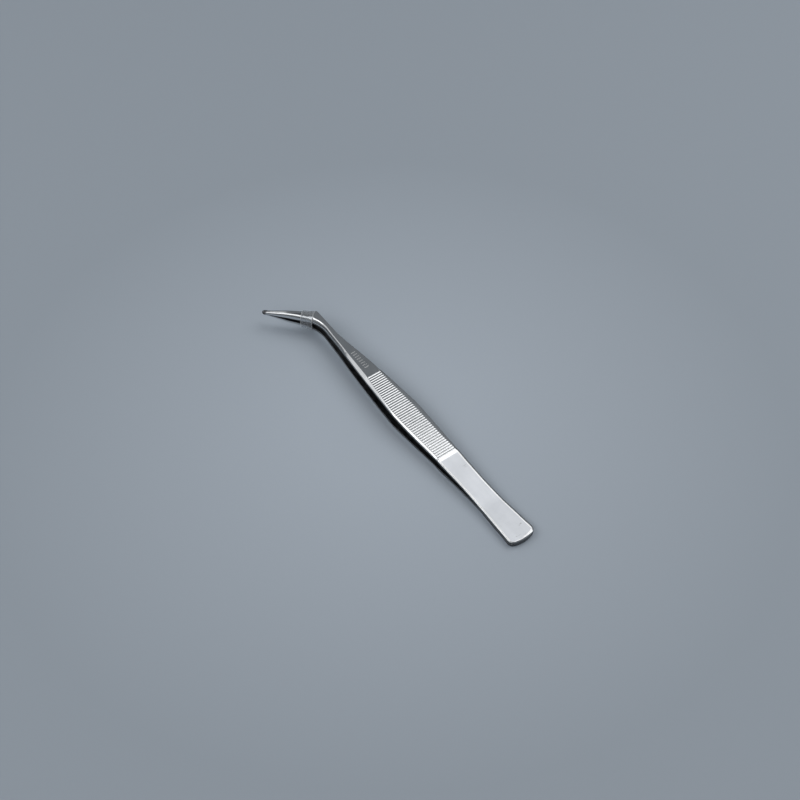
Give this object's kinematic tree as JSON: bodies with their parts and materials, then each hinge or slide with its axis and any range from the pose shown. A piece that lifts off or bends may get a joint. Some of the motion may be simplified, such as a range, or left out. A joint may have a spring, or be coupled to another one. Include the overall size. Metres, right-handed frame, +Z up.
{
  "type": "angled tweezers",
  "caption": "Steel tweezers with two springy arms welded at the heel, cross-ridged grips and tapered jaws bent sideways, held closed by a short clear sleeve.",
  "frame": {"origin": "under the middle of the tweezers' box, on the surface they lie on", "axes": "+X along the handle from the heel towards the jaws, +Y to the side the jaws bend to, +Z up, away from the surface they lie on"},
  "size_m": [0.149, 0.0212, 0.01],
  "materials": {
    "steel": "satin",
    "weld_metal": "satin",
    "clear_plastic": "gloss"
  },
  "bodies": {
    "lower": {"lower_arm": "steel"},
    "heel": {"upper_heel_leaf": "steel", "lower_heel_leaf": "steel", "heel_weld": "weld_metal"},
    "upper": {"upper_arm": "steel"},
    "sleeve": {"tip_sleeve": "clear_plastic"}
  },
  "joints": [
    {"name": "lower_arm_opening", "type": "hinge", "parent": "lower", "child": "heel", "pos_m": [-0.04143, -0.00482, 0.00109], "axis": [0, -1, 0], "range_deg": [0, 2.6], "stiffness_Nm_per_rad": 2.5, "springref_deg": 2.6},
    {"name": "upper_arm_opening", "type": "hinge", "parent": "heel", "child": "upper", "pos_m": [-0.04153, -0.00482, 0.00387], "axis": [0, -1, 0], "range_deg": [0, 2.6], "stiffness_Nm_per_rad": 2.5, "springref_deg": 2.6},
    {"name": "sleeve_slide", "type": "slide", "parent": "heel", "child": "sleeve", "axis": [0.7427, 0.6691, 0.0265], "range_m": [0, 0.066]}
  ],
  "couplings": [
    {"joint": "lower_arm_opening", "follows": "upper_arm_opening", "ratio": 1},
    {"joint": "sleeve_slide", "follows": "upper_arm_opening", "m_per_rad": 1.4544}
  ]
}
